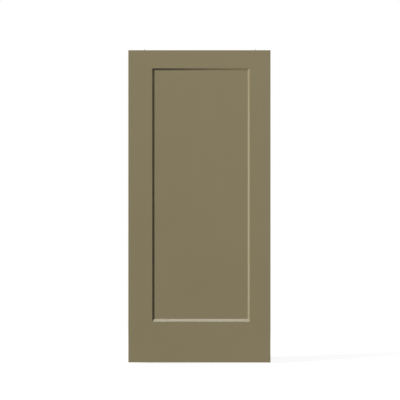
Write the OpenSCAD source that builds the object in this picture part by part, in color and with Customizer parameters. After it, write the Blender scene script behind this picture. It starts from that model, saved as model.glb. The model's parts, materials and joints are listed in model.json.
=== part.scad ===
// Sliding closet door leaf: two moulded skins with one sunk panel, glued to a timber frame and a paper core.
// Rollers that wind down are let into the bottom edge, and sprung guide pins into the top edge.
// Millimetres, Z up. The front faces -Y. The origin is the middle of the bottom edge.

/* [Leaf] */
// Width of the leaf
leaf_w = 914; // [760:1:1220]
// Height of the leaf
leaf_h = 2007; // [1900:1:2440]
// Thickness of the leaf over both skins
leaf_t = 35; // [34:0.5:45]
// Thickness of each moulded skin
skin_t = 3.2; // [2.6:0.1:4]

/* [Sunk panel] */
// Face left of the panel, from the edge of the leaf to the top of the slope
face_left = 154; // [125:1:190]
// Face right of the panel
face_right = 134; // [125:1:190]
// Face above the panel
face_top = 116; // [90:1:190]
// Face below the panel
face_bottom = 262; // [160:1:320]
// Depth of the panel below the face
panel_depth = 9; // [5:0.5:10]
// Width of the slopes at the sides and the top
slope_w = 12.5; // [8:0.5:20]
// Width of the slope at the bottom
sill_w = 18; // [8:0.5:26]
// Radius along the top of the slopes
arris_r = 2; // [0.5:0.1:2.5]
// Radius along the foot of the slopes
foot_r = 3; // [0.5:0.1:6]

/* [Frame and core] */
// Width of each stile
stile_w = 32; // [25:1:38]
// Height of the top rail
top_rail_h = 60; // [50:1:100]
// Height of the bottom rail
bottom_rail_h = 90; // [60:1:140]
// Width of each lock block
lock_block_w = 75; // [50:1:80]
// Height of each lock block
lock_block_h = 400; // [200:1:600]
// Height of the middle of the lock blocks above the bottom edge
lock_block_z = 1000; // [800:1:1200]
// Distance across the flats of a honeycomb cell
cell_w = 96; // [70:1:160]
// Thickness of the honeycomb's paper walls
cell_wall = 1.2; // [0.8:0.1:3]

/* [Rollers] */
// Distance from the edge of the leaf to each axle
roller_inset = 110; // [95:1:220]
// Diameter of the wheels
wheel_d = 34; // [28:0.5:38]
// Width of the wheels
wheel_w = 8; // [7:0.5:9]
// Radius of the groove round the tread
groove_r = 3; // [2.2:0.1:3.2]
// Depth of the groove
groove_depth = 2; // [1:0.1:2.2]
// Diameter of the hub that the washers bear on
hub_d = 13; // [12:0.5:16]
// Thickness of the rim inside the groove
rim_t = 2.5; // [1.5:0.1:4]
// Depth of the hollow on each face of a wheel
dish_depth = 1.5; // [0.5:0.1:2.5]
// Diameter of the axles
axle_d = 6; // [5:0.5:8]
// Diameter of the washers beside each wheel
washer_d = 12; // [10:0.5:13]
// Thickness of those washers
washer_t = 0.5; // [0.3:0.1:0.8]
// Height of a wheel's tread above the bottom edge when it is wound up
wheel_sunk = 0.5; // [0.2:0.1:2]
// Thickness of the steel of the housings and carriages
gear_wall = 1.5; // [1:0.1:2]
// Steel left round the axle at the foot of a carriage
fork_wall = 4; // [2:0.5:5]
// Height of a carriage's long sides
skirt_h = 12; // [6:0.5:16]
// Height of the threaded collar on a carriage
collar_h = 3.5; // [2:0.1:6]
// Diameter of the height screws
height_screw_d = 6; // [5:0.5:8]
// Diameter of the head of a height screw
height_head_d = 9; // [8.5:0.5:12]
// Thickness of the head of a height screw
height_head_t = 3; // [2.5:0.1:5]
// Distance across the flats of the socket in that head
key_flats = 4; // [3:0.5:5]
// Depth of that socket
socket_depth = 2; // [1:0.1:2.3]
// Diameter of the hole in the face plate for the key
key_hole_d = 5.5; // [5:0.1:7]
// Space between a wheel's tread and the head of its height screw
head_space = 4.5; // [3:0.5:10]
// Length of the face plates
plate_l = 120; // [106:1:150]
// Width of the face plates
plate_w = 20; // [18:0.5:22]
// Thickness of the face plates
plate_t = 2; // [1.5:0.1:3]
// Radius in the corners of the wheel's slot
slot_corner_r = 2; // [0.5:0.1:4]

/* [Top guides] */
// Distance from the edge of the leaf to each guide pin
guide_inset = 100; // [75:1:220]
// Diameter of the free end of a guide pin
pin_d = 11; // [8:0.5:11.5]
// Height of a guide pin above the top edge
pin_reach = 8; // [5:0.5:10]
// Height of the shoulder under the free end of a guide pin
shoulder_h = 0.5; // [0.2:0.1:1]
// Radius round the tip of a guide pin
tip_r = 2; // [1:0.1:2.4]
// Diameter of the stem that runs in the guide's mouth
stem_d = 12; // [11.5:0.1:12.5]
// Length of the guide's mouth
mouth_l = 3; // [2:0.5:6]
// Width of the collar that keeps a guide pin in
collar_lip = 1.7; // [1.2:0.1:1.8]
// Thickness of that collar
collar_t = 3; // [2:0.5:5]
// Length of the spigot inside the spring
spigot_l = 6; // [3:0.5:12]
// Wall of the guide's barrel
barrel_wall = 1.5; // [1:0.1:1.8]
// Length of the spring when the pin stands out
spring_l = 30; // [24:0.5:34]
// Diameter of the spring wire
wire_d = 1.2; // [0.8:0.1:1.5]
// Turns of the spring
spring_turns = 8; // [6:1:10]
// Thickness of the cap under the spring
cap_t = 3; // [2:0.5:5]
// Length of the guide's flange
flange_l = 60; // [54:1:90]
// Width of the guide's flange
flange_w = 20; // [19.8:0.1:22]
// Thickness of the guide's flange
flange_t = 2; // [1.5:0.1:3]

/* [Wood screws] */
// Diameter of the shank
shank_d = 3.5; // [3:0.1:4.5]
// Diameter of the countersunk head
head_d = 7; // [6:0.1:8]
// Length over all
wood_screw_l = 22; // [14:0.5:40]
// Length of the point
point_l = 5; // [3:0.5:8]
// Diameter at the tip of the point
point_d = 0.4; // [0.2:0.1:1]
// Length of each arm of the cross drive, end to end
drive_l = 4.2; // [2.5:0.1:5]
// Width of the arms of the cross drive
drive_w = 0.9; // [0.5:0.1:1.2]
// Depth of the cross drive
drive_depth = 1.4; // [0.8:0.1:2]

/* [Clearances] */
// Gap round the paper core
core_gap = 0.3; // [0.1:0.1:0.8]
// Gap round what is let into the rails
mortise_gap = 0.3; // [0.1:0.1:0.8]
// Gap on each side of what slides in a housing
slide_gap = 0.35; // [0.2:0.05:0.8]
// Gap round a shaft that turns or slides in a hole
run_gap = 0.05; // [0.02:0.01:0.1]
// Gap between wheel, washer and carriage
side_gap = 0.1; // [0.05:0.05:0.3]
// Space round a wheel's tread inside its gear
tread_space = 2; // [1:0.1:4]
// Gap at the ends of a height screw and above a guide pin's collar
stop_gap = 0.2; // [0.1:0.05:0.5]

/* [Hidden] */
$fn = 64;

paint = [0.51, 0.47, 0.37];
timber = [0.80, 0.67, 0.48];
paper = [0.68, 0.53, 0.36];
zinc = [0.74, 0.75, 0.76];
nylon = [0.94, 0.94, 0.91];
left = -1;
right = 1;
front = 0;
back = 1;

// How far a cutting shape runs past what it cuts
cut = 1;
// Steps in each rounded edge of the slopes
arc_steps = 4;

// Space between the skins, and between the stiles
core_t = leaf_t - 2 * skin_t;
inner_w = leaf_w - 2 * stile_w;

// Outline of the sunk panel at the top of its slopes
panel_left = -leaf_w / 2 + face_left;
panel_right = leaf_w / 2 - face_right;
panel_low = face_bottom;
panel_high = leaf_h - face_top;

// Roller gear, measured from its axle along X and from the bottom edge up
wheel_r = wheel_d / 2;
wheel_z = wheel_r + wheel_sunk;
carriage_in_w = wheel_w + 2 * washer_t + 4 * side_gap;
carriage_w = carriage_in_w + 2 * gear_wall;
housing_in_w = carriage_w + 2 * slide_gap;
housing_w = housing_in_w + 2 * gear_wall;
height_screw_x = wheel_r + head_space + height_head_d / 2;
carriage_tail = wheel_r + tread_space;
carriage_nose = height_screw_x + height_head_d / 2 + tread_space;
carriage_l = carriage_tail + carriage_nose;
web_z = wheel_z + wheel_r + tread_space;
web_top = web_z + gear_wall;
skirt_z = web_top - skirt_h;
collar_top = web_top + collar_h;
housing_in_top = collar_top + slide_gap;
housing_top = housing_in_top + gear_wall;
housing_l = carriage_l + 2 * slide_gap + 2 * gear_wall;
housing_mid = (carriage_nose - carriage_tail) / 2;
fork_r = axle_d / 2 + fork_wall;
rim_in_r = wheel_r - groove_depth - rim_t;
slot_l = wheel_d + tread_space;
collar_d = height_screw_d + 2 * gear_wall;
// Inside corners of a housing, tight enough to clear the carriage
bend_r = slide_gap;

// Top guide, measured from the top edge
pin_collar_d = stem_d + 2 * collar_lip;
barrel_in_d = pin_collar_d + 2 * slide_gap;
barrel_d = barrel_in_d + 2 * barrel_wall;
collar_high = -mouth_l - stop_gap;
collar_low = collar_high - collar_t;
cap_top = collar_low - spring_l;
guide_depth = -cap_top + cap_t;
spring_r = barrel_in_d / 2 - slide_gap - wire_d / 2;
spigot_d = 2 * spring_r - wire_d - 2 * slide_gap;
// Steps in each turn of the spring, and sides of its wire
coil_steps = 12;
coil_sides = 8;

// Countersunk heads have sides at 45 degrees
head_t = (head_d - shank_d) / 2;

function reversed(list) = [for (i = [len(list) - 1:-1:0]) list[i]];

// Points [along, down] of a slope that starts at 0 and falls by panel_depth over its run, moved down by the
// given amount along its own normal, with its top and foot rounded.
function slope_points(run, down, top_r, low_r) =
    let (
        fall = atan(panel_depth / run),
        half = tan(fall / 2),
        start = -down * half
    )
    concat(
        top_r > 0
            ? [for (i = [0:arc_steps]) let (a = fall * i / arc_steps)
                [start - top_r * half + top_r * sin(a), down + top_r * (1 - cos(a))]]
            : [[start, down]],
        [for (i = [arc_steps:-1:0]) let (a = fall * i / arc_steps)
            [start + run + low_r * half - low_r * sin(a), down + panel_depth - low_r * (1 - cos(a))]]
    );

// Section [along, down] between two slopes that face each other, closed at the given rise above them.
function sunk_section(low, high, low_run, high_run, down, top_r, low_r, rise) =
    let (
        near = [for (p = slope_points(low_run, down, top_r, low_r)) [low + p.x, p.y]],
        far = [for (p = slope_points(high_run, down, top_r, low_r)) [high - p.x, p.y]]
    )
    concat([[near[0].x, down - rise]], near, reversed(far), [[far[0].x, down - rise]]);

// Solid of the sunk panel in the front face: what its cross section and its upright section have in common,
// so the slopes meet in mitres.
module sunk_panel(down, rise) {
    top_r = max(arris_r - down, 0);
    low_r = foot_r + down;
    across = sunk_section(panel_left, panel_right, slope_w, slope_w, down, top_r, low_r, rise);
    upright = sunk_section(panel_low, panel_high, sill_w, slope_w, down, top_r, low_r, rise);
    translate([0, -leaf_t / 2, 0])
    intersection() {
        linear_extrude(leaf_h) polygon(across);
        translate([-leaf_w / 2, 0, 0])
        rotate([90, 0, 90])
        linear_extrude(leaf_w) polygon([for (p = upright) [p.y, p.x]]);
    }
}

module on_face(face) {
    mirror([0, face, 0]) children();
}

// Puts a shape drawn in X and Z between two depths
module between(y_low, y_high) {
    translate([0, y_high, 0]) rotate([90, 0, 0]) linear_extrude(y_high - y_low) children();
}

module stadium(length, width) {
    square([length - width, width], center = true);
    for (end = [left, right]) translate([end * (length - width) / 2, 0]) circle(d = width);
}

module rounded_rectangle(length, width, r) {
    square([length, width - 2 * r], center = true);
    square([length - 2 * r, width], center = true);
    for (x = [left, right], y = [left, right])
        translate([x * (length / 2 - r), y * (width / 2 - r)]) circle(r = r);
}

// The height screw lies on the side of the wheel that looks to the middle of the leaf
module at_roller(side) {
    translate([side * (leaf_w / 2 - roller_inset), 0, 0]) rotate([0, 0, side == left ? 0 : 180]) children();
}

module at_guide(side) {
    translate([side * (leaf_w / 2 - guide_inset), 0, leaf_h]) children();
}

// Places of the two screws of a plate
module at_ends(length, width) {
    for (end = [left, right]) translate([end * (length - width) / 2, 0, 0]) children();
}

// Countersunk hole that runs up from z = 0
module screw_hole() {
    translate([0, 0, -cut]) cylinder(d = shank_d + 2 * run_gap, h = wood_screw_l + cut + run_gap);
    translate([0, 0, -cut])
        cylinder(d1 = head_d + 2 * run_gap + 2 * cut, d2 = shank_d + 2 * run_gap, h = head_t + cut);
}

// Countersunk screw that runs up from z = 0, with a cross drive
module wood_screw() {
    difference() {
        union() {
            cylinder(d1 = head_d, d2 = shank_d, h = head_t);
            cylinder(d = shank_d, h = wood_screw_l - point_l);
            translate([0, 0, wood_screw_l - point_l]) cylinder(d1 = shank_d, d2 = point_d, h = point_l);
        }
        for (turn = [0, 90]) rotate([0, 0, turn])
            translate([-drive_l / 2, -drive_w / 2, -cut]) cube([drive_l, drive_w, drive_depth + cut]);
    }
}

module skin(face) {
    color(paint) on_face(face) difference() {
        union() {
            translate([-leaf_w / 2, -leaf_t / 2, 0]) cube([leaf_w, skin_t, leaf_h]);
            sunk_panel(skin_t, skin_t / 2);
        }
        sunk_panel(0, cut);
    }
}

module stile(side) {
    color(timber) translate([side * (leaf_w - stile_w) / 2, 0, leaf_h / 2])
        cube([stile_w, core_t, leaf_h], center = true);
}

module top_rail() {
    color(timber) difference() {
        translate([-inner_w / 2, -core_t / 2, leaf_h - top_rail_h]) cube([inner_w, core_t, top_rail_h]);
        for (side = [left, right]) at_guide(side) guide_mortise();
    }
}

module bottom_rail() {
    color(timber) difference() {
        translate([-inner_w / 2, -core_t / 2, 0]) cube([inner_w, core_t, bottom_rail_h]);
        for (side = [left, right]) at_roller(side) roller_mortise();
    }
}

module lock_block(side) {
    color(timber) translate([side * (inner_w - lock_block_w) / 2, 0, lock_block_z])
        cube([lock_block_w, core_t, lock_block_h], center = true);
}

// Space for the core in X and Z, kept back from the frame and the lock blocks
module core_outline(back_off) {
    difference() {
        translate([-inner_w / 2 + back_off, bottom_rail_h + back_off])
            square([inner_w - 2 * back_off, leaf_h - top_rail_h - bottom_rail_h - 2 * back_off]);
        for (side = [left, right])
            translate([side * inner_w / 2, lock_block_z])
                square([2 * (lock_block_w + back_off), lock_block_h + 2 * back_off], center = true);
    }
}

module honeycomb_cells() {
    row_h = cell_w * sqrt(3) / 2;
    rows = ceil((leaf_h - top_rail_h - bottom_rail_h) / row_h / 2);
    columns = ceil(inner_w / cell_w / 2);
    for (row = [-rows:rows], column = [-columns - 1:columns])
        translate([(column + (row % 2 == 0 ? 0.5 : 0)) * cell_w, leaf_h / 2 + row * row_h])
            rotate(30) circle(d = (cell_w - cell_wall) * 2 / sqrt(3), $fn = 6);
}

module honeycomb_core() {
    color(paper) difference() {
        between(-core_t / 2 + core_gap, core_t / 2 - core_gap) difference() {
            core_outline(core_gap);
            intersection() {
                honeycomb_cells();
                core_outline(core_gap + cell_wall);
            }
        }
        for (face = [front, back]) on_face(face) sunk_panel(skin_t + core_gap, skin_t);
    }
}

// What is cut out of the bottom rail for a roller
module roller_mortise() {
    translate([housing_mid, 0, 0]) {
        translate([0, 0, -cut])
            linear_extrude(plate_t + cut) stadium(plate_l + 2 * mortise_gap, plate_w + 2 * mortise_gap);
        linear_extrude(housing_top + mortise_gap)
            square([housing_l + 2 * mortise_gap, housing_w + 2 * mortise_gap], center = true);
        at_ends(plate_l, plate_w) screw_hole();
    }
}

module roller_plate(side) {
    color(zinc) at_roller(side) difference() {
        translate([housing_mid, 0, 0]) linear_extrude(plate_t) stadium(plate_l, plate_w);
        translate([0, 0, -cut])
            linear_extrude(plate_t + 2 * cut) rounded_rectangle(slot_l, housing_in_w, slot_corner_r);
        translate([height_screw_x, 0, -cut]) cylinder(d = key_hole_d, h = plate_t + 2 * cut);
        translate([housing_mid, 0, 0]) at_ends(plate_l, plate_w) screw_hole();
    }
}

module roller_housing(side) {
    color(zinc) at_roller(side) translate([housing_mid, 0, 0]) difference() {
        translate([0, 0, plate_t])
            linear_extrude(housing_top - plate_t) rounded_rectangle(housing_l, housing_w, bend_r + gear_wall);
        translate([0, 0, plate_t - cut])
            linear_extrude(housing_in_top - plate_t + cut)
            rounded_rectangle(housing_l - 2 * gear_wall, housing_in_w, bend_r);
    }
}

module roller_screws(side) {
    color(zinc) at_roller(side) translate([housing_mid, 0, 0]) at_ends(plate_l, plate_w) wood_screw();
}

// Side view of a carriage: a long skirt under its web, and a fork that narrows to the axle
module carriage_side() {
    translate([-carriage_tail, skirt_z]) square([carriage_l, web_top - skirt_z]);
    translate([0, wheel_z]) circle(r = fork_r);
    polygon([
        [-fork_r, wheel_z], [fork_r, wheel_z],
        [wheel_r, skirt_z + cut], [-wheel_r, skirt_z + cut]
    ]);
}

module roller_carriage(side) {
    color(zinc) at_roller(side) difference() {
        union() {
            between(-carriage_w / 2, carriage_w / 2) carriage_side();
            translate([height_screw_x, 0, web_z]) cylinder(d = collar_d, h = collar_top - web_z);
        }
        between(-carriage_in_w / 2, carriage_in_w / 2)
            translate([-carriage_tail - cut, 0]) square([carriage_l + 2 * cut, web_z]);
        translate([height_screw_x, 0, web_z - cut])
            cylinder(d = height_screw_d + 2 * run_gap, h = collar_top - web_z + 2 * cut);
        translate([0, carriage_w / 2 + cut, wheel_z]) rotate([90, 0, 0])
            cylinder(d = axle_d + run_gap, h = carriage_w + 2 * cut);
    }
}

module wheel(side) {
    color(nylon) at_roller(side) translate([0, 0, wheel_z]) rotate([90, 0, 0]) rotate_extrude() difference() {
        translate([axle_d / 2 + run_gap, -wheel_w / 2]) square([wheel_r - axle_d / 2 - run_gap, wheel_w]);
        translate([wheel_r - groove_depth + groove_r, 0]) circle(r = groove_r);
        for (face = [left, right])
            translate([hub_d / 2, face * wheel_w / 2 - dish_depth])
                square([rim_in_r - hub_d / 2, 2 * dish_depth]);
    }
}

module wheel_axle(side) {
    color(zinc) at_roller(side) translate([0, carriage_w / 2, wheel_z]) rotate([90, 0, 0])
        cylinder(d = axle_d, h = carriage_w);
}

module axle_washers(side) {
    washer_y = (wheel_w + washer_t) / 2 + side_gap;
    color(zinc) at_roller(side) for (face = [left, right])
        translate([0, face * washer_y + washer_t / 2, wheel_z]) rotate([90, 0, 0])
            difference() {
                cylinder(d = washer_d, h = washer_t);
                translate([0, 0, -cut]) cylinder(d = axle_d + 2 * run_gap, h = washer_t + 2 * cut);
            }
}

// Socket screw whose head stands on the face plate and whose end bears under the housing
module height_screw(side) {
    low = plate_t + stop_gap;
    high = housing_in_top - stop_gap;
    color(zinc) at_roller(side) translate([height_screw_x, 0, 0]) difference() {
        union() {
            translate([0, 0, low]) cylinder(d = height_head_d, h = height_head_t);
            translate([0, 0, low]) cylinder(d = height_screw_d, h = high - low);
        }
        translate([0, 0, low - cut])
            cylinder(d = key_flats * 2 / sqrt(3), h = socket_depth + cut, $fn = 6);
    }
}

// What is cut out of the top rail for a guide
module guide_mortise() {
    translate([0, 0, -flange_t])
        linear_extrude(flange_t + cut) stadium(flange_l + 2 * mortise_gap, flange_w + 2 * mortise_gap);
    translate([0, 0, -guide_depth - mortise_gap])
        cylinder(d = barrel_d + 2 * mortise_gap, h = guide_depth + mortise_gap);
    at_ends(flange_l, flange_w) rotate([180, 0, 0]) screw_hole();
}

module guide_housing(side) {
    color(nylon) at_guide(side) difference() {
        union() {
            translate([0, 0, -flange_t]) linear_extrude(flange_t) stadium(flange_l, flange_w);
            translate([0, 0, -guide_depth]) cylinder(d = barrel_d, h = guide_depth);
        }
        translate([0, 0, -mouth_l - cut]) cylinder(d = stem_d + 2 * run_gap, h = mouth_l + 2 * cut);
        translate([0, 0, -guide_depth - cut]) cylinder(d = barrel_in_d, h = guide_depth - mouth_l + cut);
        at_ends(flange_l, flange_w) rotate([180, 0, 0]) screw_hole();
    }
}

// Half section of the pin from its spring spigot up to its rounded tip, turned about its axis
module guide_plunger(side) {
    pin_r = pin_d / 2;
    color(nylon) at_guide(side) rotate_extrude() {
        translate([0, collar_low - spigot_l]) square([spigot_d / 2, spigot_l + collar_t]);
        translate([0, collar_low]) square([pin_collar_d / 2, collar_t]);
        translate([0, collar_low]) square([stem_d / 2, shoulder_h - collar_low]);
        square([pin_r, pin_reach - tip_r]);
        square([pin_r - tip_r, pin_reach]);
        translate([pin_r - tip_r, pin_reach - tip_r]) circle(r = tip_r);
    }
}

// Coil of round wire between the cap and the collar of the pin
module guide_spring(side) {
    rings = spring_turns * coil_steps;
    rise = (spring_l - wire_d - 2 * run_gap) / rings;
    points = [
        for (ring = [0:rings], corner = [0:coil_sides - 1])
            let (
                turn = 360 * ring / coil_steps,
                round = 360 * corner / coil_sides,
                reach = spring_r + wire_d / 2 * cos(round)
            )
            [
                reach * cos(turn), reach * sin(turn),
                cap_top + run_gap + wire_d / 2 + rise * ring + wire_d / 2 * sin(round)
            ]
    ];
    walls = [
        for (ring = [0:rings - 1], corner = [0:coil_sides - 1])
            let (next = (corner + 1) % coil_sides, a = ring * coil_sides, b = a + coil_sides)
            [a + corner, a + next, b + next, b + corner]
    ];
    low_end = [for (corner = [coil_sides - 1:-1:0]) corner];
    high_end = [for (corner = [0:coil_sides - 1]) rings * coil_sides + corner];
    color(zinc) at_guide(side) polyhedron(points, concat([low_end], walls, [high_end]));
}

module guide_cap(side) {
    color(nylon) at_guide(side) translate([0, 0, -guide_depth])
        cylinder(d = barrel_in_d - 2 * run_gap, h = cap_t);
}

module guide_screws(side) {
    color(zinc) at_guide(side) at_ends(flange_l, flange_w) rotate([180, 0, 0]) wood_screw();
}

skin(front);  // front_skin
skin(back);  // back_skin
stile(left);  // left_stile
stile(right);  // right_stile
top_rail();
bottom_rail();
lock_block(left);  // left_lock_block
lock_block(right);  // right_lock_block
honeycomb_core();
roller_plate(left);  // left_roller_plate
roller_housing(left);  // left_roller_housing
roller_screws(left);  // left_roller_screws
roller_carriage(left);  // left_roller_carriage
wheel(left);  // left_wheel
wheel_axle(left);  // left_wheel_axle
axle_washers(left);  // left_axle_washers
height_screw(left);  // left_height_screw
roller_plate(right);  // right_roller_plate
roller_housing(right);  // right_roller_housing
roller_screws(right);  // right_roller_screws
roller_carriage(right);  // right_roller_carriage
wheel(right);  // right_wheel
wheel_axle(right);  // right_wheel_axle
axle_washers(right);  // right_axle_washers
height_screw(right);  // right_height_screw
guide_housing(left);  // left_guide_housing
guide_plunger(left);  // left_guide_plunger
guide_spring(left);  // left_guide_spring
guide_cap(left);  // left_guide_cap
guide_screws(left);  // left_guide_screws
guide_housing(right);  // right_guide_housing
guide_plunger(right);  // right_guide_plunger
guide_spring(right);  // right_guide_spring
guide_cap(right);  // right_guide_cap
guide_screws(right);  // right_guide_screws
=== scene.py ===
import json
import math

import bmesh
import bpy
import numpy as np
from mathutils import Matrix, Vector


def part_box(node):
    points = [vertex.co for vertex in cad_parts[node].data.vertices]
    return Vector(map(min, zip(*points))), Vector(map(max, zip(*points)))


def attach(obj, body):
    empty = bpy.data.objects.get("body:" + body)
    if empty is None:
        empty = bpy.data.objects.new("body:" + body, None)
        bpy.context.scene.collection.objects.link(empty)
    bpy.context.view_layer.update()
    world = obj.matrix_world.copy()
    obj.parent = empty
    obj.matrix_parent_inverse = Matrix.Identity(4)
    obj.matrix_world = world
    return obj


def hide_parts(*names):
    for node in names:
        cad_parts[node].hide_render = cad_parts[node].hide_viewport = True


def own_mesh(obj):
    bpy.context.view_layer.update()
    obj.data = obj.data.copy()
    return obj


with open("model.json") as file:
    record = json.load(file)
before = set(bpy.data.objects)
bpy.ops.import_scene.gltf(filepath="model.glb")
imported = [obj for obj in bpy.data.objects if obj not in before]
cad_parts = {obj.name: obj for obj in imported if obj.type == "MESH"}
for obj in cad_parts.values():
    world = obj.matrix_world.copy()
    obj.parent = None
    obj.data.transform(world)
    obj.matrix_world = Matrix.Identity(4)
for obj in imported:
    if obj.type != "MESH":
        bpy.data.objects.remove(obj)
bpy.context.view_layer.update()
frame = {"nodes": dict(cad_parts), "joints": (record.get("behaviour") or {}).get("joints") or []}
nodes = frame["nodes"]
joints = {joint["name"]: joint for joint in frame["joints"]}
scene = bpy.context.scene
scene.view_settings.view_transform = "Standard"
print("frame loaded with", len(nodes), "nodes")

sides = ("left", "right")
fullTurn = 2 * math.pi


# Lowest and highest corner of a node, to the nearest micron
def nodeBox(name):
    return [[round(value, 6) for value in corner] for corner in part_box(name)]


skinLow, skinHigh = nodeBox("front_skin")
leafWidth = skinHigh[0] - skinLow[0]
leafHeight = skinHigh[2]
leafFront = skinLow[1]


# Camera: straight on to the front face, far enough back that the edges stay parallel
cameraView = {
    "distance": 12.0,       # from the front face
    "pixelSize": 0.006426,  # on the front face
    "pictureSide": 400,     # pixels
    "across": 0.0038,
    "height": 1.0442,
    "sensorWidth": 36.0,    # millimetres
    "farthest": 100.0,
}
pictureWidth = cameraView["pixelSize"] * cameraView["pictureSide"]
cameraData = bpy.data.cameras.new("camera")
cameraData.sensor_width = cameraView["sensorWidth"]
cameraData.lens = cameraView["sensorWidth"] * cameraView["distance"] / pictureWidth
cameraData.clip_end = cameraView["farthest"]
camera = bpy.data.objects.new("camera", cameraData)
camera.location = (cameraView["across"], leafFront - cameraView["distance"], cameraView["height"])
camera.rotation_euler = (math.pi / 2, 0, 0)
scene.collection.objects.link(camera)
scene.camera = camera
print("camera set")


# Shader helpers: an input is a value or the socket of another node
def addNode(tree, kind, settings=None, inputs=None):
    node = tree.nodes.new(kind)
    for key, value in (settings or {}).items():
        setattr(node, key, value)
    for key, value in (inputs or {}).items():
        if isinstance(value, bpy.types.NodeSocket):
            tree.links.new(value, node.inputs[key])
        else:
            node.inputs[key].default_value = value
    return node


def addMath(tree, operation, first, second=0.0):
    return addNode(tree, "ShaderNodeMath", {"operation": operation}, {0: first, 1: second}).outputs[0]


def addVector(tree, operation, first, second):
    inputs = {0: first, 1: second}
    return addNode(tree, "ShaderNodeVectorMath", {"operation": operation}, inputs).outputs[0]


def addLength(tree, vector):
    return addNode(tree, "ShaderNodeVectorMath", {"operation": "LENGTH"}, {0: vector}).outputs["Value"]


def addRange(tree, value, low, high):
    inputs = {"Value": value, "To Min": low, "To Max": high}
    return addNode(tree, "ShaderNodeMapRange", None, inputs).outputs["Result"]


def addNoise(tree, vector, scale, detail, roughness, output=0):
    inputs = {"Vector": vector, "Scale": scale, "Detail": detail, "Roughness": roughness}
    return addNode(tree, "ShaderNodeTexNoise", None, inputs).outputs[output]


def addStretch(tree, vector, scale, turn=(0, 0, 0)):
    inputs = {"Vector": vector, "Scale": scale, "Rotation": turn}
    return addNode(tree, "ShaderNodeMapping", None, inputs).outputs[0]


def mixColour(tree, factor, first, second):
    inputs = {0: factor, 6: first, 7: second}  # where a colour mix has its sockets
    return addNode(tree, "ShaderNodeMix", {"data_type": "RGBA"}, inputs).outputs[2]


def newGroup(name, inputs, outputs):
    group = bpy.data.node_groups.new(name, "ShaderNodeTree")
    for label, kind in inputs.items():
        group.interface.new_socket(name=label, in_out="INPUT", socket_type="NodeSocket" + kind)
    for label in outputs:
        group.interface.new_socket(name=label, in_out="OUTPUT", socket_type="NodeSocketFloat")
    return group, group.nodes.new("NodeGroupInput").outputs, group.nodes.new("NodeGroupOutput").inputs


def closeGroup(group, groupOut, results):
    for label, socket in results.items():
        group.links.new(socket, groupOut[label])


# Film: Peel is the fine ripple of a sprayed or moulded surface, Cloud its broad unevenness and Uneven
# some of both
surfaceFilm = {
    "peelDetail": 2.0, "peelRoughness": 0.45, "cloudDetail": 4.0, "cloudRoughness": 0.55, "cloudShare": 0.6,
}
filmGroup, filmIn, filmOut = newGroup(
    "surfaceFilm", {"Vector": "Vector", "Peel Scale": "Float", "Cloud Scale": "Float"},
    ["Peel", "Cloud", "Uneven"],
)
peel = addNoise(
    filmGroup, filmIn["Vector"], filmIn["Peel Scale"],
    surfaceFilm["peelDetail"], surfaceFilm["peelRoughness"],
)
cloud = addNoise(
    filmGroup, filmIn["Vector"], filmIn["Cloud Scale"],
    surfaceFilm["cloudDetail"], surfaceFilm["cloudRoughness"],
)
cloudPart = addMath(filmGroup, "MULTIPLY", cloud, surfaceFilm["cloudShare"])
peelPart = addMath(filmGroup, "MULTIPLY", peel, 1 - surfaceFilm["cloudShare"])
filmUneven = addMath(filmGroup, "ADD", cloudPart, peelPart)
closeGroup(filmGroup, filmOut, {"Peel": peel, "Cloud": cloud, "Uneven": filmUneven})

# Grain: growth rings round a pith that wanders along Z, with fine fibres drawn out along Z
timberGrain = {
    "wanderStretch": (9.0, 9.0, 1.3), "wanderDetail": 2.0, "wanderRoughness": 0.5,
    "wander": (0.03, 0.03, 0.0), "lateWoodPower": 2.6,
    "fibreStretch": (900.0, 900.0, 14.0), "fibreDetail": 3.0, "fibreRoughness": 0.6,
}
grainGroup, grainIn, grainOut = newGroup(
    "timberGrain", {"Vector": "Vector", "Ring Width": "Float", "Pith": "Vector"}, ["Ring", "Fibre"],
)
wanderVector = addStretch(grainGroup, grainIn["Vector"], timberGrain["wanderStretch"])
wanderNoise = addNoise(
    grainGroup, wanderVector, 1.0, timberGrain["wanderDetail"], timberGrain["wanderRoughness"], "Color",
)
wander = addVector(grainGroup, "MULTIPLY", wanderNoise, timberGrain["wander"])
fromPith = addVector(grainGroup, "SUBTRACT", grainIn["Vector"], grainIn["Pith"])
pushed = addVector(grainGroup, "ADD", fromPith, wander)
ringRadius = addLength(grainGroup, addVector(grainGroup, "MULTIPLY", pushed, (1.0, 1.0, 0.0)))
ringPhase = addMath(grainGroup, "FRACT", addMath(grainGroup, "DIVIDE", ringRadius, grainIn["Ring Width"]))
ring = addMath(grainGroup, "POWER", ringPhase, timberGrain["lateWoodPower"])
fibreVector = addStretch(grainGroup, grainIn["Vector"], timberGrain["fibreStretch"])
fibre = addNoise(grainGroup, fibreVector, 1.0, timberGrain["fibreDetail"], timberGrain["fibreRoughness"])
closeGroup(grainGroup, grainOut, {"Ring": ring, "Fibre": fibre})

# Fleck: pressed fibres, drawn out along X, used for board and paper
pressedFibre = {
    "fleckStretch": (0.35, 1.0, 1.0), "fleckDetail": 4.0, "fleckRoughness": 0.65,
    "blotchScale": 35.0, "blotchDetail": 3.0, "blotchRoughness": 0.5,
}
fleckGroup, fleckIn, fleckOut = newGroup(
    "pressedFibre", {"Vector": "Vector", "Fibre Scale": "Float"}, ["Fleck", "Blotch"],
)
fleckVector = addStretch(fleckGroup, fleckIn["Vector"], pressedFibre["fleckStretch"])
fleck = addNoise(
    fleckGroup, fleckVector, fleckIn["Fibre Scale"],
    pressedFibre["fleckDetail"], pressedFibre["fleckRoughness"],
)
blotch = addNoise(
    fleckGroup, fleckIn["Vector"], pressedFibre["blotchScale"],
    pressedFibre["blotchDetail"], pressedFibre["blotchRoughness"],
)
closeGroup(fleckGroup, fleckOut, {"Fleck": fleck, "Blotch": blotch})

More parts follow.
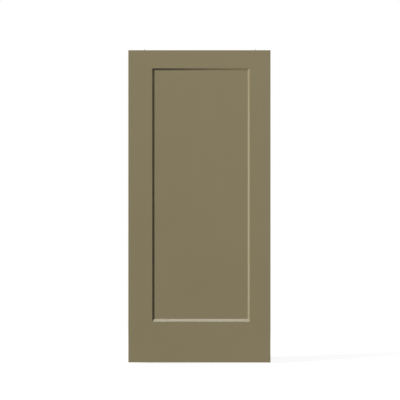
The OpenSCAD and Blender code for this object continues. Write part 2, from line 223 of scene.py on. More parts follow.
# Plating: Streak is fine drawn lines along X, Bloom the soft blotches of a plated surface and Uneven
# half of each
metalPlating = {
    "streakStretch": (60.0, 2600.0, 2600.0), "streakDetail": 3.0, "streakRoughness": 0.6,
    "bloomScale": 160.0, "bloomDetail": 3.0, "bloomRoughness": 0.55,
}
platingGroup, platingIn, platingOut = newGroup(
    "metalPlating", {"Vector": "Vector", "Streak Scale": "Float"}, ["Streak", "Bloom", "Uneven"],
)
streakVector = addStretch(platingGroup, platingIn["Vector"], metalPlating["streakStretch"])
streak = addNoise(
    platingGroup, streakVector, platingIn["Streak Scale"],
    metalPlating["streakDetail"], metalPlating["streakRoughness"],
)
bloom = addNoise(
    platingGroup, platingIn["Vector"], metalPlating["bloomScale"],
    metalPlating["bloomDetail"], metalPlating["bloomRoughness"],
)
platingUneven = addMath(platingGroup, "MULTIPLY", addMath(platingGroup, "ADD", streak, bloom), 0.5)
closeGroup(platingGroup, platingOut, {"Streak": streak, "Bloom": bloom, "Uneven": platingUneven})


def placeGroup(tree, group, inputs):
    return addNode(tree, "ShaderNodeGroup", {"node_tree": group}, inputs).outputs


def placeFilm(tree, place, paint):
    inputs = {"Vector": place, "Peel Scale": paint["peelScale"], "Cloud Scale": paint["cloudScale"]}
    return placeGroup(tree, filmGroup, inputs)


def placeGrain(tree, place, wood):
    inputs = {"Vector": place, "Ring Width": wood["ringWidth"], "Pith": wood["pith"]}
    return placeGroup(tree, grainGroup, inputs)


def newMaterial(name):
    material = bpy.data.materials.new(name)
    material.use_nodes = True
    tree = material.node_tree
    tree.nodes.clear()
    surface = addNode(tree, "ShaderNodeBsdfPrincipled")
    addNode(tree, "ShaderNodeOutputMaterial", None, {"Surface": surface.outputs[0]})
    place = addNode(tree, "ShaderNodeTexCoord").outputs["Object"]
    return material, tree, surface, place


# What every finish ends with: colour, dullness and relief from its nodes, and the values that are the
# same all over
def setSurface(tree, surface, colour, dullness, relief, values):
    tree.links.new(colour, surface.inputs["Base Color"])
    tree.links.new(dullness, surface.inputs["Roughness"])
    surface.inputs["Metallic"].default_value = values.get("metallic", 0.0)
    surface.inputs["Specular IOR Level"].default_value = values["specular"]
    bump = addNode(tree, "ShaderNodeBump", None, {
        "Height": relief, "Strength": values["bump"], "Distance": values["bumpDepth"],
    })
    tree.links.new(bump.outputs[0], surface.inputs["Normal"])


def finishPaint(name, paint):
    material, tree, surface, place = newMaterial(name)
    film = placeFilm(tree, place, paint)
    colour = mixColour(tree, film["Cloud"], paint["darker"], paint["lighter"])
    dullness = addRange(tree, film["Uneven"], paint["glossy"], paint["dull"])
    setSurface(tree, surface, colour, dullness, film["Peel"], paint)
    return material


def finishTimber(name, wood):
    material, tree, surface, place = newMaterial(name)
    grain = placeGrain(tree, addStretch(tree, place, (1, 1, 1), wood["turn"]), wood)
    ringColour = mixColour(tree, grain["Ring"], wood["earlyWood"], wood["lateWood"])
    fibreMask = addRange(tree, grain["Fibre"], 0.0, wood["fibreShare"])
    colour = mixColour(tree, fibreMask, ringColour, wood["fibre"])
    dullness = addRange(tree, grain["Fibre"], wood["glossy"], wood["dull"])
    relief = addMath(tree, "ADD", grain["Ring"], grain["Fibre"])
    setSurface(tree, surface, colour, dullness, relief, wood)
    return material


def finishFibre(name, board):
    material, tree, surface, place = newMaterial(name)
    pressed = placeGroup(tree, fleckGroup, {"Vector": place, "Fibre Scale": board["fibreScale"]})
    blotchColour = mixColour(tree, pressed["Blotch"], board["darker"], board["lighter"])
    fleckMask = addRange(tree, pressed["Fleck"], 0.0, board["fleckShare"])
    colour = mixColour(tree, fleckMask, blotchColour, board["fleck"])
    dullness = addRange(tree, pressed["Fleck"], board["glossy"], board["dull"])
    setSurface(tree, surface, colour, dullness, pressed["Fleck"], board)
    return material


def finishMetal(name, metal):
    material, tree, surface, place = newMaterial(name)
    plating = placeGroup(tree, platingGroup, {"Vector": place, "Streak Scale": metal["streakScale"]})
    colour = mixColour(tree, plating["Bloom"], metal["darker"], metal["lighter"])
    dullness = addRange(tree, plating["Uneven"], metal["glossy"], metal["dull"])
    setSurface(tree, surface, colour, dullness, plating["Streak"], metal)
    return material


# Painted timber: paint on the long face of a stile, bare grain where it is sawn across at its ends
def finishStile(name, paint, wood):
    material, tree, surface, place = newMaterial(name)
    film = placeFilm(tree, place, paint)
    grain = placeGrain(tree, place, wood)
    paintColour = mixColour(tree, film["Cloud"], paint["darker"], paint["lighter"])
    woodColour = mixColour(tree, grain["Ring"], wood["earlyWood"], wood["lateWood"])
    height = addNode(tree, "ShaderNodeSeparateXYZ", None, {0: place}).outputs["Z"]
    foot = addMath(tree, "LESS_THAN", height, wood["margin"])
    head = addMath(tree, "GREATER_THAN", height, leafHeight - wood["margin"])
    sawn = addMath(tree, "ADD", foot, head)
    colour = mixColour(tree, sawn, paintColour, woodColour)
    paintDullness = addRange(tree, film["Cloud"], paint["glossy"], paint["dull"])
    dullness = addMath(tree, "ADD", paintDullness, addMath(tree, "MULTIPLY", sawn, wood["moreDull"]))
    relief = addMath(tree, "ADD", film["Peel"], addMath(tree, "MULTIPLY", sawn, grain["Fibre"]))
    setSurface(tree, surface, colour, dullness, relief, paint)
    return material


oliveFilm = {
    "darker": (0.203, 0.168, 0.096, 1), "lighter": (0.219, 0.182, 0.106, 1),
    "peelScale": 420.0, "cloudScale": 3.0, "glossy": 0.15, "dull": 0.20, "specular": 0.12,
    "bump": 0.25, "bumpDepth": 0.00012,
}
satinPaint = finishPaint("satinPaint", oliveFilm)
sawnEnds = {
    "margin": 0.0001, "ringWidth": 0.0028, "pith": (0.43, 0.09, 0.0),
    "earlyWood": (0.60, 0.40, 0.21, 1), "lateWood": (0.38, 0.20, 0.08, 1), "moreDull": 0.4,
}
stilePaint = finishStile("stilePaint", oliveFilm, sawnEnds)
whiteNylon = finishPaint("whiteNylon", {
    "darker": (0.55, 0.55, 0.515, 1), "lighter": (0.62, 0.62, 0.585, 1),
    "peelScale": 1800.0, "cloudScale": 60.0, "glossy": 0.36, "dull": 0.52, "specular": 0.5,
    "bump": 0.2, "bumpDepth": 0.00008,
})
pine = {
    "earlyWood": (0.60, 0.42, 0.235, 1), "lateWood": (0.41, 0.235, 0.105, 1),
    "fibre": (0.52, 0.35, 0.185, 1), "fibreShare": 0.35, "ringWidth": 0.0034,
    "glossy": 0.55, "dull": 0.80, "specular": 0.3, "bump": 0.35, "bumpDepth": 0.0003,
}
lyingAcross = (0, math.pi / 2, 0)
pineBlock = finishTimber("pineBlock", {**pine, "turn": (0, 0, 0), "pith": (0.02, 0.07, 0.0)})
pineHead = finishTimber("pineHead", {**pine, "turn": lyingAcross, "pith": (2.05, -0.06, 0.0)})
pineFoot = finishTimber("pineFoot", {**pine, "turn": lyingAcross, "pith": (0.02, 0.07, 0.0)})
pulp = {"fleckShare": 0.7, "glossy": 0.70, "dull": 0.92, "specular": 0.25, "bump": 0.4, "bumpDepth": 0.0003}
rawBoard = finishFibre("rawBoard", {
    **pulp, "fibreScale": 1100.0,
    "darker": (0.19, 0.115, 0.058, 1), "lighter": (0.27, 0.175, 0.095, 1), "fleck": (0.34, 0.235, 0.135, 1),
})
kraftPaper = finishFibre("kraftPaper", {
    **pulp, "fibreScale": 700.0,
    "darker": (0.36, 0.23, 0.125, 1), "lighter": (0.45, 0.30, 0.17, 1), "fleck": (0.52, 0.37, 0.22, 1),
})
steel = {"metallic": 1.0, "specular": 0.5, "bumpDepth": 0.0001}
zincSteel = finishMetal("zincSteel", {
    **steel, "darker": (0.50, 0.51, 0.52, 1), "lighter": (0.64, 0.65, 0.66, 1),
    "streakScale": 1.0, "glossy": 0.26, "dull": 0.50, "bump": 0.12,
})
brightSteel = finishMetal("brightSteel", {
    **steel, "darker": (0.60, 0.60, 0.59, 1), "lighter": (0.70, 0.70, 0.69, 1),
    "streakScale": 1.6, "glossy": 0.16, "dull": 0.34, "bump": 0.08,
})
screwSteel = finishMetal("screwSteel", {
    **steel, "darker": (0.53, 0.49, 0.40, 1), "lighter": (0.66, 0.62, 0.52, 1),
    "streakScale": 1.3, "glossy": 0.22, "dull": 0.42, "bump": 0.08,
})
print("materials ready:", len(bpy.data.materials))


# Grid cells: corner (row, column) with its neighbours one row and one column on. Columns always close
# into a ring.
def gridCells(rows, columns, closeRows):
    row, column = np.meshgrid(np.arange(rows if closeRows else rows - 1), np.arange(columns), indexing="ij")
    nextRow, nextColumn = (row + 1) % rows, (column + 1) % columns
    corners = [(row, column), (row, nextColumn), (nextRow, nextColumn), (nextRow, column)]
    return np.stack([across * columns + along for across, along in corners], -1).reshape(-1, 4)


mergeGap = 1e-6   # metres, well under any step of a grid
samePoint = 1e-8  # metres, between points of a section that fall together


# A piece from one or more grids of points, rows by columns by 3. Rows drawn to one point become closed
# poles.
def makePiece(name, grids, body, materials, stands,
              closeRows=False, capEnds=False, sharpAngle=32, cellSlots=None):
    points, faces, start = [], [], 0
    for grid in grids:
        rows, columns = grid.shape[:2]
        faces += (gridCells(rows, columns, closeRows) + start).tolist()
        if capEnds:
            ends = np.arange(columns) + start
            faces += [ends[::-1].tolist(), (ends + (rows - 1) * columns).tolist()]
        points.append(grid.reshape(-1, 3))
        start += rows * columns
    mesh = bpy.data.meshes.new(name)
    mesh.from_pydata(np.concatenate(points).tolist(), [], faces)
    if cellSlots is not None:
        mesh.polygons.foreach_set("material_index", np.asarray(cellSlots, np.int32))
    shape = bmesh.new()
    shape.from_mesh(mesh)
    bmesh.ops.remove_doubles(shape, verts=shape.verts, dist=mergeGap)
    bmesh.ops.recalc_face_normals(shape, faces=shape.faces)
    shape.to_mesh(mesh)
    shape.free()
    mesh.polygons.foreach_set("use_smooth", np.ones(len(mesh.polygons), bool))
    mesh.set_sharp_from_angle(angle=math.radians(sharpAngle))
    for material in materials:
        mesh.materials.append(material)
    piece = bpy.data.objects.new(name, mesh)
    scene.collection.objects.link(piece)
    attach(piece, body)
    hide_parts(stands)
    return piece


# Corners C of a section, each replaced by a curve (1-u)^2 A + 2u(1-u) C + u^2 B, where A and B lie on its
# two sides at the distance set back. Points that fall together are kept once.
def easeCorners(corners, setBack, closed, steps=5):
    corners, setBack = np.asarray(corners, float), np.asarray(setBack, float)[:, None]
    before, after = np.roll(corners, 1, 0) - corners, np.roll(corners, -1, 0) - corners
    before /= np.linalg.norm(before, axis=1, keepdims=True)
    after /= np.linalg.norm(after, axis=1, keepdims=True)
    enter, leave = corners + before * setBack, corners + after * setBack
    u = np.linspace(0, 1, steps)[None, :, None]
    curve = (1 - u) ** 2 * enter[:, None] + 2 * u * (1 - u) * corners[:, None] + u ** 2 * leave[:, None]
    section = curve.reshape(-1, 2)
    fresh = np.linalg.norm(section - np.roll(section, 1, 0), axis=1) > samePoint
    if not closed:
        fresh[0] = True
    return section[fresh]


# Skins: rectangular rings carried from the back of the panel over the edge of the leaf to the front of
# the panel
skin = {
    "thickness": 0.0032, "faceLeft": 0.154, "faceRight": 0.134, "faceTop": 0.116, "faceBottom": 0.262,
    "panelDepth": 0.009, "slopeWidth": 0.0125, "sillWidth": 0.018,
    "arrisRadius": 0.002, "footRadius": 0.003, "edgeEase": 0.0008, "jointEase": 0.0003,
    "arcSteps": 8, "edgeSteps": 6, "supportGap": 0.0006,
}


# Along and down of a slope that is moved down, with arcs tangent to the face above and the panel below.
# A slope moved down by its own normal moves out by that depth times the tangent of half its fall, and an
# arc takes up its radius times the same tangent.
def slopeProfile(run, down, topRadius, footRadius):
    fall = math.atan2(skin["panelDepth"], run)
    half = math.tan(fall / 2)
    turn = fall * np.linspace(0, 1, skin["arcSteps"] + 1)
    start = -down * half
    top = np.stack([
        start - topRadius * half + topRadius * np.sin(turn),
        down + topRadius * (1 - np.cos(turn)),
    ], -1)
    foot = np.stack([
        start + run + footRadius * half - footRadius * np.sin(turn[::-1]),
        down + skin["panelDepth"] - footRadius * (1 - np.cos(turn[::-1])),
    ], -1)
    return np.concatenate([top if topRadius > 0 else top[:1], foot])


# Rings of left, right, low, high and depth for slopes that meet in mitres: the sill is read at the same
# depths
def slopeRings(down, topRadius, footRadius):
    side = slopeProfile(skin["slopeWidth"], down, topRadius, footRadius)
    sill = slopeProfile(skin["sillWidth"], down, topRadius, footRadius)
    sideAlong, depth = side.T
    sillAlong = np.interp(depth, sill[:, 1], sill[:, 0])
    return np.stack([
        -leafWidth / 2 + skin["faceLeft"] + sideAlong, leafWidth / 2 - skin["faceRight"] - sideAlong,
        skin["faceBottom"] + sillAlong, leafHeight - skin["faceTop"] - sideAlong, depth,
    ], -1)


# The same five numbers for rings that follow the outline of the leaf, set in from it
def edgeRings(inset, depth):
    inset, depth = np.asarray(inset, float), np.asarray(depth, float)
    return np.stack([-leafWidth / 2 + inset, leafWidth / 2 - inset, inset, leafHeight - inset, depth], -1)


# Each ring becomes four corners at its depth in from the face. From the panel outwards come the glued side
# and the edge, with a quarter circle on it, and then the painted side back in to the panel.
def skinGrid(face):
    wall, ease, joint, gap = skin["thickness"], skin["edgeEase"], skin["jointEase"], skin["supportGap"]
    inner = slopeRings(wall, 0, skin["footRadius"] + wall)[::-1]
    edge = edgeRings([joint, 0], [wall, wall - joint])
    turn = np.linspace(0, math.pi / 2, skin["edgeSteps"] + 1)
    rounded = edgeRings(ease * (1 - np.cos(turn)), ease * (1 - np.sin(turn)))
    outer = slopeRings(0, skin["arrisRadius"], skin["footRadius"])
    inward = np.array([1, -1, 1, -1, 0]) * gap
    rings = np.concatenate([
        inner, edge, rounded, edgeRings([ease + gap], [0]), outer[:1] - inward, outer, outer[-1:] + inward,
    ])
    left, right, low, high, depth = rings.T
    across = np.stack([left, right, right, left], -1)
    upright = np.stack([low, low, high, high], -1)
    through = np.repeat(face * (-leafFront - depth)[:, None], 4, 1)
    bare = np.zeros((len(rings) - 1, 4), int)
    glued = len(inner) + 1
    bare[:glued] = 1          # the side that is glued to the timber
    bare[glued, [0, 2]] = 1   # the trimmed bottom and top edges
    caps = [1, 0]             # the panel's back and front
    return np.stack([across, through, upright], -1), np.concatenate([bare.ravel(), caps])


for name, face in (("front", -1), ("back", 1)):
    grid, bare = skinGrid(face)
    makePiece(name + "Skin", [grid], "leaf", [satinPaint, rawBoard], name + "_skin",
              capEnds=True, sharpAngle=25, cellSlots=bare)
print("skins lofted")


# Revolve: a section of radius and height turned round an axis through centre, "z" upright or "y" through
# the leaf. Around is the radius times the cosine of the turn, and beside the radius times its sine.
def revolve(section, centre, sectors, axis):
    turn = np.linspace(0, fullTurn, sectors, endpoint=False)
    radius, height = section[:, :1], np.repeat(section[:, 1:], sectors, 1)
    around, beside = radius * np.cos(turn), radius * np.sin(turn)
    order = (around, beside, height) if axis == "z" else (around, height, beside)
    return np.stack(order, -1) + np.asarray(centre)


wheel = {
    "tread": 0.017, "halfWidth": 0.004, "bore": 0.00305, "hub": 0.0065, "rimInside": 0.0125, "dish": 0.0015,
    "grooveRadius": 0.003, "grooveDepth": 0.002, "grooveSteps": 12, "ease": 0.0004, "sectors": 72,
}


# Hub, dished web and rim on both sides. The groove is an arc round a middle outside the tread: radius =
# middle - root of (arc radius squared - distance across squared).
def wheelSection():
    tread, half, arc, ease = wheel["tread"], wheel["halfWidth"], wheel["grooveRadius"], wheel["ease"]
    web = half - wheel["dish"]
    middle = tread - wheel["grooveDepth"] + arc
    lip = math.sqrt(arc ** 2 - (middle - tread) ** 2)
    across = np.linspace(-lip, lip, wheel["grooveSteps"] + 1)
    groove = np.stack([middle - np.sqrt(arc ** 2 - across ** 2), across], -1)
    flank = np.array([
        [wheel["bore"], half], [wheel["hub"], half], [wheel["hub"], web],
        [wheel["rimInside"], web], [wheel["rimInside"], half], [tread, half],
    ])
    grooveEase = np.zeros(len(groove))
    grooveEase[[0, -1]] = ease / 2
    flankEase = np.full(len(flank), ease)
    corners = np.concatenate([flank * [1, -1], groove, flank[::-1]])
    return easeCorners(corners, np.concatenate([flankEase, grooveEase, flankEase]), True)


for side in sides:
    centre = joints[side + "_wheel_spin"]["pos_m"]
    makePiece(side + "Wheel", [revolve(wheelSection(), centre, wheel["sectors"], "y")], side + "_wheel",
              [whiteNylon], side + "_wheel", closeRows=True)
print("wheels turned")


# Heights are from the top edge of the leaf
guide = {
    "spigotRadius": 0.00615, "spigotLow": -0.0122, "collarRadius": 0.0077, "collarLow": -0.0062,
    "collarHigh": -0.0032, "stemRadius": 0.006, "shoulder": 0.0005, "pinRadius": 0.0055, "pinHigh": 0.008,
    "tipRadius": 0.002, "ease": 0.0003, "easeSteps": 9, "sectors": 64,
}


def guideMiddle(side):
    low, high = nodeBox(side + "_guide_plunger")
    return (low[0] + high[0]) / 2


# Spigot in the spring, collar, stem in the housing and rounded pin, from the bottom up
def plungerSection():
    steps = [
        (guide["spigotRadius"], guide["spigotLow"], guide["collarLow"]),
        (guide["collarRadius"], guide["collarLow"], guide["collarHigh"]),
        (guide["stemRadius"], guide["collarHigh"], guide["shoulder"]),
        (guide["pinRadius"], guide["shoulder"], guide["pinHigh"]),
    ]
    corners = [(radius, height) for radius, low, high in steps for height in (low, high)]
    corners = [(0, guide["spigotLow"]), *corners, (0, guide["pinHigh"])]
    ease = guide["ease"]
    setBack = [0, ease, ease / 2, ease, ease, ease / 2, ease / 2, ease / 2, guide["tipRadius"], 0]
    return easeCorners(corners, setBack, False, guide["easeSteps"])


for side in sides:
    centre = (guideMiddle(side), 0, leafHeight)
    pin = revolve(plungerSection(), centre, guide["sectors"], "z")
    makePiece(side + "GuidePin", [pin], side + "_guide_pin", [whiteNylon],
              side + "_guide_plunger")
print("guide pins turned")


# Spring: it stands on the cap, under the collar of the pin
spring = {
    "radius": 0.0071, "wire": 0.0012, "gap": 0.00005, "turns": 8, "endPitch": 0.00128,
    "stepsPerTurn": 32, "wireSides": 12,
}


# A circle of wire carried along a helix with close end turns: reach = coil radius + half the wire times
# the cosine round it, rise = height of the helix + half the wire times 1 more than the sine round it
def springGrid(centreX, low, length):
    last, wire = spring["turns"], spring["wire"]
    turns = np.linspace(0, last, last * spring["stepsPerTurn"] + 1)
    climb = length - wire - 2 * spring["gap"]
    heights = [0, spring["endPitch"], climb - spring["endPitch"], climb]
    height = np.interp(turns, [0, 1, last - 1, last], heights)[:, None]
    turn = fullTurn * turns[:, None]
    roundWire = np.linspace(0, fullTurn, spring["wireSides"], endpoint=False)[None, :]
    reach = spring["radius"] + wire / 2 * np.cos(roundWire)
    rise = height + wire / 2 * (1 + np.sin(roundWire)) + low + spring["gap"]
    return np.stack([centreX + reach * np.cos(turn), reach * np.sin(turn), rise], -1)


for side in sides:
    centreX = guideMiddle(side)
    low = nodeBox(side + "_guide_cap")[1][2]
    length = leafHeight + guide["collarLow"] - low
    coil = makePiece(side + "GuideSpring", [springGrid(centreX, low, length)], "leaf",
                     [brightSteel], side + "_guide_spring", capEnds=True, sharpAngle=50)
    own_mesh(coil)
print("springs coiled")


# Thread: radius = root + ridge, where the ridge follows height / pitch less the share of a turn, and fades
# at the ends
def threadRadius(height, turn, screw, crest, fadeLow, fadeHigh):
    phase = np.mod(height / screw["pitch"] - turn / fullTurn, 1.0)
    ridge = np.clip(1 - np.abs(phase - 0.5) * 2 / screw["ridgeShare"], 0, 1)
    fade = np.clip((height - fadeLow[0]) / (fadeLow[1] - fadeLow[0]), 0, 1)
    fade = fade * np.clip((fadeHigh[1] - height) / (fadeHigh[1] - fadeHigh[0]), 0, 1)
    return screw["root"] + (crest - screw["root"]) * ridge * fade


# A screw stands on its head and runs up. Flip lays it over, so that it runs down and keeps its hand.
def standScrew(radius, height, turn, centre, flip):
    around, beside = radius * np.cos(turn), radius * np.sin(turn)
    hand = -1 if flip else 1
    return np.stack([around, hand * beside, hand * height], -1) + np.asarray(centre)


woodScrew = {
    "head": 0.0035, "faceEase": 0.00008, "rimEase": 0.00003, "shank": 0.00175, "root": 0.00125,
    "length": 0.022, "neck": 0.0012, "point": 0.005, "tip": 0.0002,
    "pitch": 0.0016, "ridgeShare": 0.45, "threadStart": 0.0016, "threadStop": 0.0004, "fadeIn": 0.003,
    "fadeOut": 0.001, "driveReach": 0.0021, "driveWidth": 0.0009, "driveDepth": 0.0014, "driveSoft": 0.0002,
    "driveRise": 1.6, "faceRows": 22, "rowsPerTurn": 10, "sectors": 48,
}


# One slot of the cross drive: 1 in its middle and 0 outside, soft at its sides, with a floor that rises
# to its ends
def driveSlot(along, beside):
    width = np.clip((woodScrew["driveWidth"] / 2 - beside) / woodScrew["driveSoft"] + 0.5, 0, 1)
    return width * np.clip(woodScrew["driveRise"] * (1 - along / woodScrew["driveReach"]), 0, 1)


# Rows from the middle of the head out over its face, along the countersink and the thread and in to the
# tip. The cross drive is the deeper of its two slots.
def woodScrewGrid(centre, flip):
    head, shank, length = woodScrew["head"], woodScrew["shank"], woodScrew["length"]
    turn = np.linspace(0, fullTurn, woodScrew["sectors"], endpoint=False)[None, :]
    face = np.linspace(0, head - woodScrew["faceEase"], woodScrew["faceRows"])[:, None]
    along, beside = np.abs(face * np.cos(turn)), np.abs(face * np.sin(turn))
    faceHeight = woodScrew["driveDepth"] * np.maximum(driveSlot(along, beside), driveSlot(beside, along))
    seat = head - shank
    neck = seat + woodScrew["neck"]
    rim = woodScrew["rimEase"]
    shoulder = np.array([[head - rim, rim], [shank, seat], [shank, neck]])
    step = woodScrew["pitch"] / woodScrew["rowsPerTurn"]
    height = np.arange(seat + woodScrew["threadStart"], length - woodScrew["threadStop"], step)[:, None]
    taper = np.interp(height, [length - woodScrew["point"], length], [1, woodScrew["tip"] / shank])
    fadeLow = (neck, seat + woodScrew["fadeIn"])
    fadeHigh = (length - woodScrew["fadeOut"], length)
    radius = taper * threadRadius(height, turn, woodScrew, shank, fadeLow, fadeHigh)
    full = np.ones_like(turn)
    allRadius = np.concatenate([face * full, shoulder[:, :1] * full, radius, 0 * full])
    allHeight = np.concatenate([faceHeight, shoulder[:, 1:] * full, height * full, length * full])
    return standScrew(allRadius, allHeight, turn, centre, flip)


for side in sides:
    for gear, flip in (("roller", False), ("guide", True)):
        node = side + "_" + gear + "_screws"
        low, high = nodeBox(node)
        middle = (low[0] + high[0]) / 2
        reach = (high[0] - low[0]) / 2 - woodScrew["head"]
        headHeight = high[2] if flip else low[2]
        pair = [woodScrewGrid((middle + end * reach, 0, headHeight), flip) for end in (-1, 1)]
        makePiece(side + gear.capitalize() + "Screws", pair, "leaf", [screwSteel], node,
                  sharpAngle=40)
print("wood screws cut")


heightScrew = {
    "head": 0.0045, "headThickness": 0.003, "crest": 0.003, "root": 0.00245,
    "pitch": 0.001, "ridgeShare": 0.9, "threadStart": 0.0002, "threadStop": 0.0001,
    "fadeIn": 0.002, "fadeOut": 0.0012, "endRing": 0.8,
    "keyFlats": 0.004, "socketDepth": 0.002, "floorRing": 0.6, "ease": 0.0003, "easeSteps": 4,
    "rowsPerTurn": 8, "sectors": 48,
}


# Rows from the middle of the socket floor, out along its six-sided wall, over the head and along the thread
# to the end. The wall's radius is half the flats over the cosine of the angle from the nearest flat.
def heightScrewGrid(centre, end):
    turn = np.linspace(0, fullTurn, heightScrew["sectors"], endpoint=False)[None, :]
    full, ease, depth = np.ones_like(turn), heightScrew["ease"], heightScrew["socketDepth"]
    head, thick, crest = heightScrew["head"], heightScrew["headThickness"], heightScrew["crest"]
    fromFlat = np.mod(turn, math.pi / 3) - math.pi / 6
    wall = heightScrew["keyFlats"] / 2 / np.cos(fromFlat)
    stations = [
        (0 * full, depth), (heightScrew["floorRing"] * wall, depth), (wall, depth),
        (wall, ease), (wall + ease / 2, 0),
    ]
    for bend in np.linspace(0, math.pi / 2, heightScrew["easeSteps"] + 1):
        stations.append(((head - ease * (1 - math.sin(bend))) * full, ease * (1 - math.cos(bend))))
    for radius, height in ((head, thick - ease / 2), (head - ease / 2, thick), (crest, thick)):
        stations.append((radius * full, height))
    step = heightScrew["pitch"] / heightScrew["rowsPerTurn"]
    height = np.arange(thick + heightScrew["threadStart"], end - heightScrew["threadStop"], step)[:, None]
    fadeLow = (thick, thick + heightScrew["fadeIn"])
    fadeHigh = (end - heightScrew["fadeOut"], end)
    radius = threadRadius(height, turn, heightScrew, crest, fadeLow, fadeHigh)
    lastRing = heightScrew["endRing"] * heightScrew["root"] * full
    headRadius = [station[0] for station in stations]
    headHeight = [station[1] * full for station in stations]
    allRadius = np.concatenate([*headRadius, radius, lastRing, 0 * full])
    allHeight = np.concatenate([*headHeight, height * full, end * full, end * full])
    return standScrew(allRadius, allHeight, turn, centre, False)


for side in sides:
    low, high = nodeBox(side + "_height_screw")
    centre = (joints[side + "_height_turn"]["pos_m"][0], 0, low[2])
    makePiece(side + "HeightScrew", [heightScrewGrid(centre, high[2] - low[2])], side + "_height_screw",
              [screwSteel], side + "_height_screw", sharpAngle=40)
print("height screws cut")


# Finishes of the pieces that keep their solid form, by the ends of their names
finishes = {
    "stile": stilePaint, "top_rail": pineHead, "bottom_rail": pineFoot, "lock_block": pineBlock,
    "core": kraftPaper, "roller_plate": zincSteel, "roller_housing": zincSteel, "carriage": zincSteel,
    "axle": brightSteel, "washers": brightSteel, "guide_housing": whiteNylon, "guide_cap": whiteNylon,
}
for name, node in nodes.items():
    for ending, material in finishes.items():
        if name.endswith(ending):
            node.data.materials.clear()
            node.data.materials.append(material)
print("finishes set")


# Seen: 1 on rays that come from the camera, a gloss or a glass, and 0 on the rest
def addSeen(tree):
    rays = addNode(tree, "ShaderNodeLightPath").outputs
    mirrored = addMath(tree, "MAXIMUM", rays["Is Glossy Ray"], rays["Is Transmission Ray"])
    return addMath(tree, "MAXIMUM", rays["Is Camera Ray"], mirrored)


# Floor: pale under the leaf, where it keeps the shadow, and white to the camera further out. It lies low
# enough for the wheels when they are wound out, and is open to a view and to light from below.
floorPatch = {
    "low": -0.0098, "half": 6.0, "shade": (0.22, 0.22, 0.22, 1), "farShade": (0, 0, 0, 1),
    "nearLift": 0.78, "farLift": 1.0, "fadeFrom": 1.2, "fadeTo": 3.2,
}
half, level = floorPatch["half"], floorPatch["low"]
floorMesh = bpy.data.meshes.new("floor")
corners = ((-half, -half), (half, -half), (half, half), (-half, half))
floorMesh.from_pydata([(x, y, level) for x, y in corners], [], [(0, 1, 2, 3)])
floor = bpy.data.objects.new("floor", floorMesh)
scene.collection.objects.link(floor)
floorMaterial = bpy.data.materials.new("floorPale")
floorMaterial.use_nodes = True
tree = floorMaterial.node_tree
tree.nodes.clear()
place = addNode(tree, "ShaderNodeTexCoord").outputs["Object"]
far = addNode(tree, "ShaderNodeMapRange", {"interpolation_type": "SMOOTHSTEP"}, {
    "Value": addLength(tree, place), "From Min": floorPatch["fadeFrom"], "From Max": floorPatch["fadeTo"],
}).outputs["Result"]
lift = addRange(tree, far, floorPatch["nearLift"], floorPatch["farLift"])
shade = mixColour(tree, far, floorPatch["shade"], floorPatch["farShade"])
pale = addNode(tree, "ShaderNodeBsdfDiffuse", None, {"Color": shade})
glowStrength = addMath(tree, "MULTIPLY", addSeen(tree), lift)
glow = addNode(tree, "ShaderNodeEmission", None, {"Strength": glowStrength})
lit = addNode(tree, "ShaderNodeAddShader", None, {0: pale.outputs[0], 1: glow.outputs[0]})
clear = addNode(tree, "ShaderNodeBsdfTransparent")
underside = addNode(tree, "ShaderNodeNewGeometry").outputs["Backfacing"]
floorShader = addNode(tree, "ShaderNodeMixShader", None, {
    0: underside, 1: lit.outputs[0], 2: clear.outputs[0],
})
addNode(tree, "ShaderNodeOutputMaterial", None, {"Surface": floorShader.outputs[0]})
floorMesh.materials.append(floorMaterial)
floor.visible_shadow = False
floor.visible_diffuse = False  # throws no light back on the leaf


# World: white to camera, gloss and glass, and a low even fill for the rest
worldLight = {"colour": (1, 1, 1, 1), "white": 1.0, "fill": 0.03}
world = bpy.data.worlds.new("studio")
world.use_nodes = True
scene.world = world
tree = world.node_tree
tree.nodes.clear()
strength = addRange(tree, addSeen(tree), worldLight["fill"], worldLight["white"])
sky = addNode(tree, "ShaderNodeBackground", None, {"Color": worldLight["colour"], "Strength": strength})
addNode(tree, "ShaderNodeOutputWorld", None, {"Surface": sky.outputs[0]})


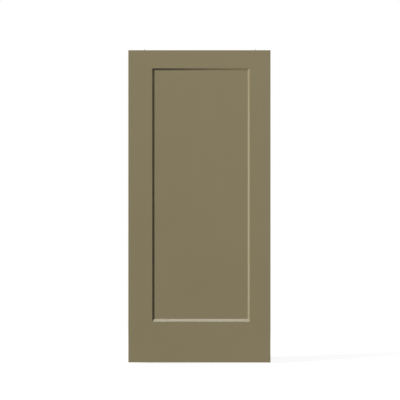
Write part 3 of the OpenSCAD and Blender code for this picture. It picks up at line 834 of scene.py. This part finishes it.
# Lamps: where each stands, what it looks at, its size or its angle, and its power. The key is one broad
# even beam. The head beam comes up along the front from far below, and fades across the slope above the
# panel. Only the two strips show in the gloss, where they draw the light edges of the panel, and the left
# one does nothing else.
coolWhite = (0.84, 0.94, 1.0)
plainWhite = (1, 1, 1)
lamps = {
    "keyBeam": {"place": (-9.4, -6.0, 8.6), "aim": (0, 0, 1.0), "spread": 10, "power": 6.14},
    "headBeam": {"place": (0.84, -0.57, -30), "aim": (0.84, -0.013, 1.885), "cone": 4.02, "power": 44000},
    "leftStrip": {
        "place": (-5.31, -2.05, 0.35), "aim": (0.32, -0.02, 0.35), "size": (0.4, 3.4), "power": 56,
        "colour": coolWhite, "inGloss": True, "onMatt": False,
    },
    "topStrip": {
        "place": (0, -3.91, 4.83), "aim": (0, -0.02, 0.27), "size": (1.4, 0.25), "power": 58,
        "colour": coolWhite, "inGloss": True,
    },
    "backLamp": {"place": (7.5, 4.8, 3.2), "aim": (0, 0, 1.0), "size": (2.4, 2.4), "power": 1140},
    "backFill": {"place": (-2.5, 5.5, 2.0), "aim": (0, 0, 1.0), "size": (2.4, 2.4), "power": 150},
    "underLamp": {"place": (-0.6, 0.1, -0.9), "aim": (-0.3, 0, 0), "size": (1.0, 0.5), "power": 4},
}
for name, values in lamps.items():
    if "spread" in values:
        light = bpy.data.lights.new(name, "SUN")
        light.angle = math.radians(values["spread"])
    elif "cone" in values:
        light = bpy.data.lights.new(name, "SPOT")
        light.spot_size = math.radians(values["cone"])
        light.spot_blend = 1.0  # fades from its middle out
    else:
        light = bpy.data.lights.new(name, "AREA")
        light.shape = "RECTANGLE"
        light.size, light.size_y = values["size"]
    light.energy = values["power"]
    light.color = values.get("colour", plainWhite)
    lamp = bpy.data.objects.new(name, light)
    lamp.location = values["place"]
    aim = Vector(values["aim"]) - Vector(values["place"])
    lamp.rotation_euler = aim.to_track_quat("-Z", "Y").to_euler()
    lamp.visible_camera = False
    lamp.visible_glossy = values.get("inGloss", False)
    lamp.visible_diffuse = values.get("onMatt", True)
    scene.collection.objects.link(lamp)
print("stage lit by", len(lamps), "lamps")
